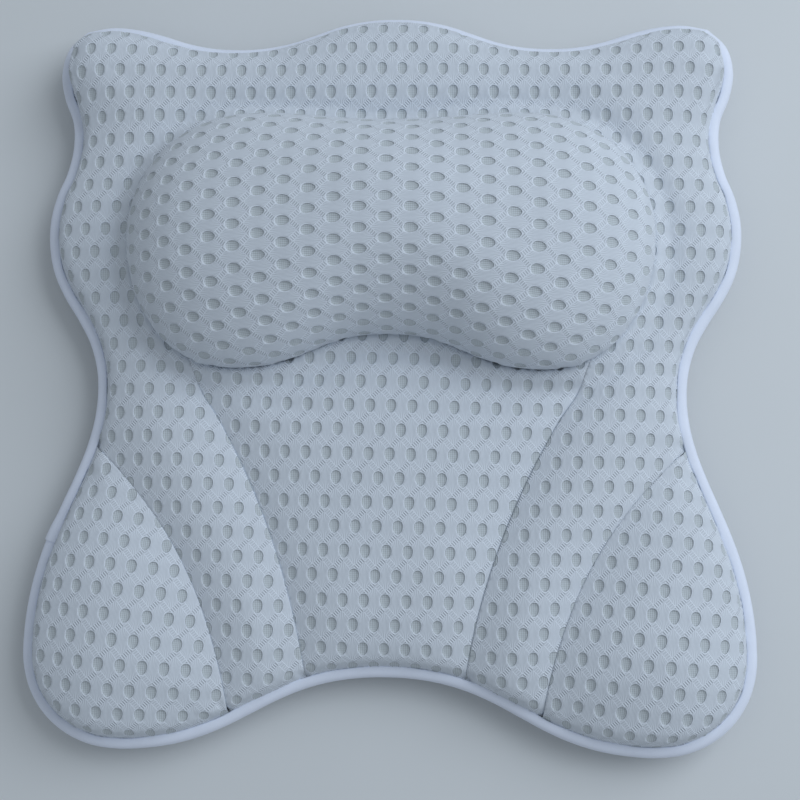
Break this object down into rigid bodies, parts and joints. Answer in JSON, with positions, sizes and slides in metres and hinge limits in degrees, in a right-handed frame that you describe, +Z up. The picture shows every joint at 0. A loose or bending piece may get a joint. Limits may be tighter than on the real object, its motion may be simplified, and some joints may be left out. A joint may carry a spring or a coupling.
{
  "type": "bath pillow",
  "caption": "Quilted butterfly-shaped bath pillow of white spacer mesh with a raised bean-shaped neck roll, a bound edge and swivelling suction cups on its back.",
  "frame": {"origin": "under the middle of the pillow, on the plane of the suction cup rims", "axes": "+Z up out of the padded face, +Y from the wings to the crest above the neck roll, +X to the right of someone looking at the face"},
  "size_m": [0.3779, 0.3919, 0.088],
  "materials": {
    "spacer_mesh": "white warp-knitted spacer mesh with open cells",
    "back_mesh": "white warp-knitted spacer mesh",
    "wadding": "white polyester fibre",
    "woven_cloth": "white plain weave",
    "binding_tape": "white ribbed woven tape",
    "soft_pvc": "clear soft PVC"
  },
  "bodies": {
    "pad": {"yoke_panel": "spacer_mesh", "yoke_fill": "wadding", "centre_panel": "spacer_mesh", "centre_fill": "wadding", "neck_roll_cover": "spacer_mesh", "neck_roll_fill": "wadding", "neck_roll_base": "woven_cloth", "back_panel": "back_mesh", "edge_binding": "binding_tape", "anchor_patch_shoulder_left": "woven_cloth", "anchor_patch_shoulder_right": "woven_cloth", "anchor_patch_side_left": "woven_cloth", "anchor_patch_side_right": "woven_cloth"},
    "left_wing": {"left_wing_panel": "spacer_mesh", "left_wing_fill": "wadding", "anchor_patch_wing_left": "woven_cloth"},
    "right_wing": {"right_wing_panel": "spacer_mesh", "right_wing_fill": "wadding", "anchor_patch_wing_right": "woven_cloth"},
    "shoulder_cup_left": {"suction_cup_shoulder_left": "soft_pvc"},
    "shoulder_cup_right": {"suction_cup_shoulder_right": "soft_pvc"},
    "side_cup_left": {"suction_cup_side_left": "soft_pvc"},
    "side_cup_right": {"suction_cup_side_right": "soft_pvc"},
    "wing_cup_left": {"suction_cup_wing_left": "soft_pvc"},
    "wing_cup_right": {"suction_cup_wing_right": "soft_pvc"}
  },
  "joints": [
    {"name": "left_wing_fold", "type": "hinge", "parent": "pad", "child": "left_wing", "pos_m": [-0.1128, -0.1059, 0.0171], "axis": [-0.4786, 0.8781, 0], "range_deg": [-20, 20], "stiffness_Nm_per_rad": 0.8, "deforming": ["back_panel", "edge_binding"]},
    {"name": "right_wing_fold", "type": "hinge", "parent": "pad", "child": "right_wing", "pos_m": [0.1128, -0.1059, 0.0171], "axis": [-0.4786, -0.8781, 0], "range_deg": [-20, 20], "stiffness_Nm_per_rad": 0.8, "deforming": ["back_panel", "edge_binding"]},
    {"name": "shoulder_cup_left_swivel", "type": "hinge", "parent": "pad", "child": "shoulder_cup_left", "pos_m": [-0.128, 0.15, 0], "axis": [0, 0, 1], "continuous": true},
    {"name": "shoulder_cup_right_swivel", "type": "hinge", "parent": "pad", "child": "shoulder_cup_right", "pos_m": [0.128, 0.15, 0], "axis": [0, 0, 1], "continuous": true},
    {"name": "side_cup_left_swivel", "type": "hinge", "parent": "pad", "child": "side_cup_left", "pos_m": [-0.122, 0.032, 0], "axis": [0, 0, 1], "continuous": true},
    {"name": "side_cup_right_swivel", "type": "hinge", "parent": "pad", "child": "side_cup_right", "pos_m": [0.122, 0.032, 0], "axis": [0, 0, 1], "continuous": true},
    {"name": "wing_cup_left_swivel", "type": "hinge", "parent": "left_wing", "child": "wing_cup_left", "pos_m": [-0.142, -0.138, 0], "axis": [0, 0, 1], "continuous": true},
    {"name": "wing_cup_right_swivel", "type": "hinge", "parent": "right_wing", "child": "wing_cup_right", "pos_m": [0.142, -0.138, 0], "axis": [0, 0, 1], "continuous": true}
  ]
}
